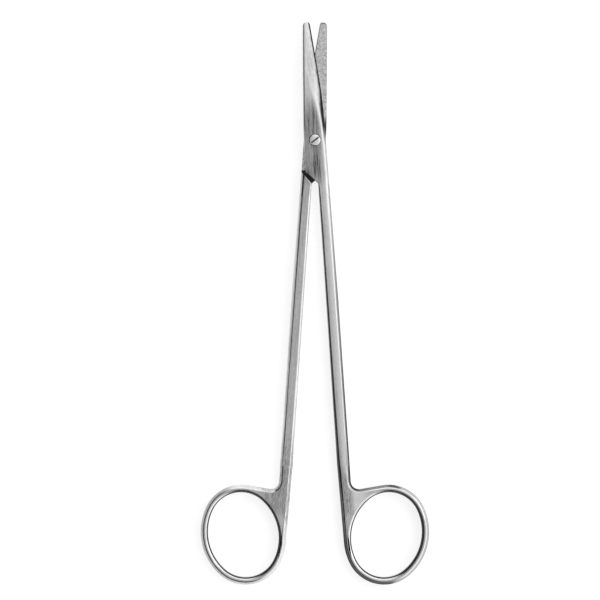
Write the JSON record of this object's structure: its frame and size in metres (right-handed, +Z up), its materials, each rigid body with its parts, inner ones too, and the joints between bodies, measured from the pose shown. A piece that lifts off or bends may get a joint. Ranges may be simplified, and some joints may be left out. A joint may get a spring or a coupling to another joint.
{
  "type": "dissecting scissors",
  "caption": "Slender surgical dissecting scissors with blunt-tipped straight blades, long shanks, oval finger rings and a slotted pivot screw, partly open.",
  "frame": {"origin": "on the pivot axis, at the flat back of the joint on which the scissors lie", "axes": "+Z up along the pivot axis, out of the slotted screw head; +Y from the pivot towards the blade tips; +X to the side of the top half's finger ring"},
  "size_m": [0.0726, 0.1787, 0.0044],
  "materials": {
    "satin_steel": "satin, brushed lengthwise",
    "screw_steel": "bright, turned"
  },
  "bodies": {
    "bottom_body": {"bottom_half": "satin_steel", "pivot_screw": "screw_steel"},
    "top_body": {"top_half": "satin_steel"}
  },
  "joints": [
    {"name": "pivot", "type": "hinge", "parent": "bottom_body", "child": "top_body", "pos_m": [0, 0, 0.0022], "axis": [0, 0, 1], "range_deg": [-7.7, 135]}
  ]
}
